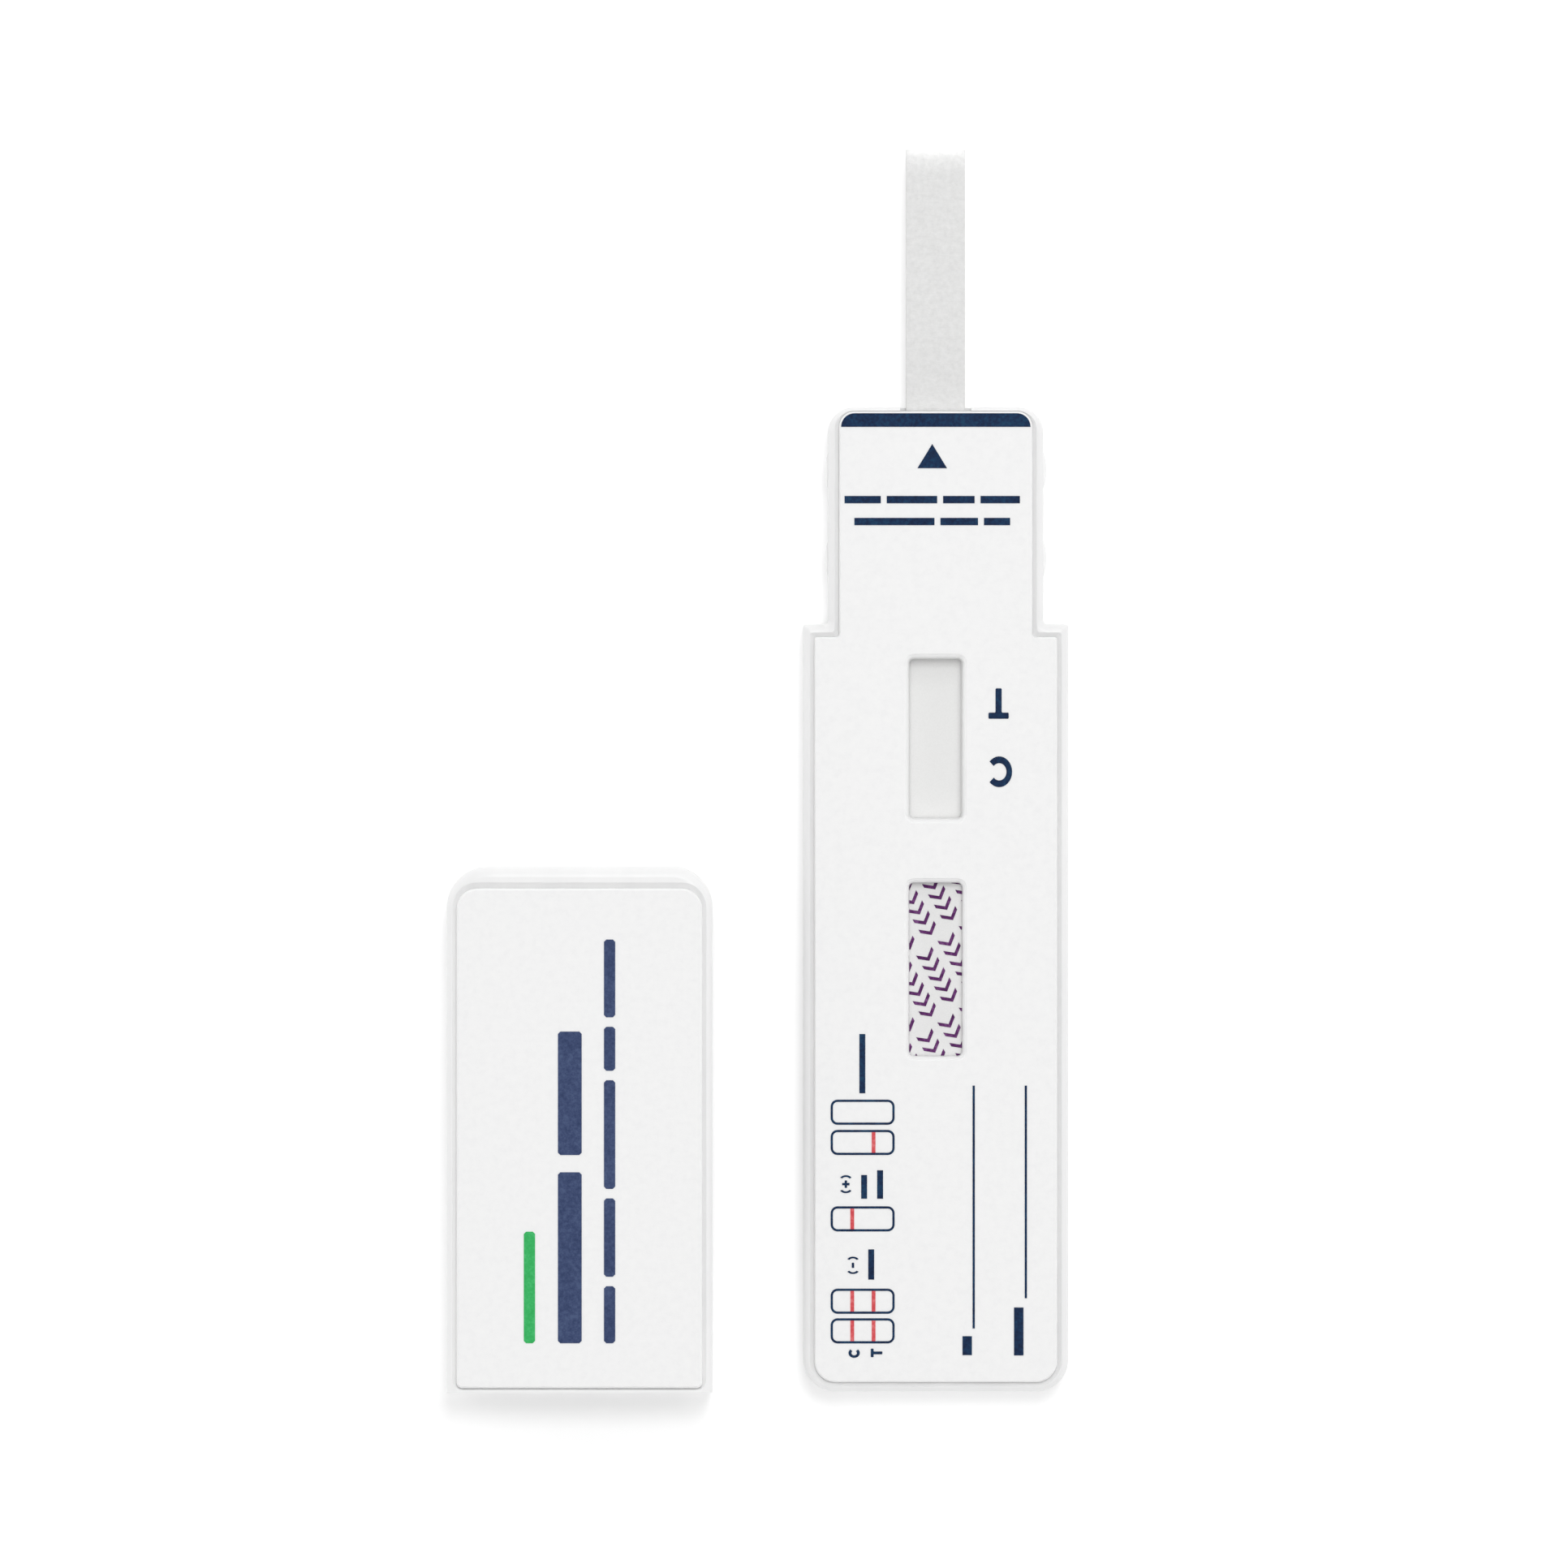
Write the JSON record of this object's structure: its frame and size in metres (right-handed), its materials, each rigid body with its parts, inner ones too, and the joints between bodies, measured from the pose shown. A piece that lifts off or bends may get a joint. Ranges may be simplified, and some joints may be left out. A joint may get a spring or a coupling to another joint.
{
  "type": "lateral flow cassette",
  "caption": "Flat dip card with a labelled front, viewing windows and a test strip standing out of its narrower neck, its rounded sleeve cap lying beside it.",
  "frame": {"origin": "middle of the housing's flat back face, on the surface that the card and its cap lie on", "axes": "+Y from the foot of the card to the strip's tip, +Z out of the printed front, +X to the right seen from the front, with the cap on the -X side"},
  "size_m": [0.0525, 0.1049, 0.0074],
  "materials": {
    "housing_plastic": "white moulded polystyrene, smooth and half glossy",
    "cap_plastic": "white moulded polystyrene, smooth and half glossy",
    "label_paper": "coated white label paper, flat",
    "ink_navy": "dark blue printed ink, flat",
    "ink_red": "light red printed ink, flat",
    "ink_green": "mid green printed ink, flat",
    "ink_slate": "slate blue printed ink, flat",
    "ink_purple": "purple printed ink, flat",
    "tape_film": "thin white adhesive tape, flat",
    "card_plastic": "white adhesive backing card",
    "pad_fibre": "white pressed cotton fibre, rough and absorbent",
    "conjugate_fibre": "off-white glass fibre, rough",
    "membrane_film": "white porous membrane, flat"
  },
  "bodies": {
    "root": {"front_shell": "housing_plastic", "back_shell": "housing_plastic", "cap": "cap_plastic", "front_label": "label_paper", "cap_label": "label_paper", "front_print_navy": "ink_navy", "front_print_red": "ink_red", "cap_print_green": "ink_green", "cap_print_navy": "ink_slate", "tape_print": "ink_purple", "cover_tape": "tape_film", "backing_card": "card_plastic", "sample_pad": "pad_fibre", "absorbent_pad": "pad_fibre", "conjugate_pad": "conjugate_fibre", "membrane": "membrane_film"}
  },
  "joints": []
}
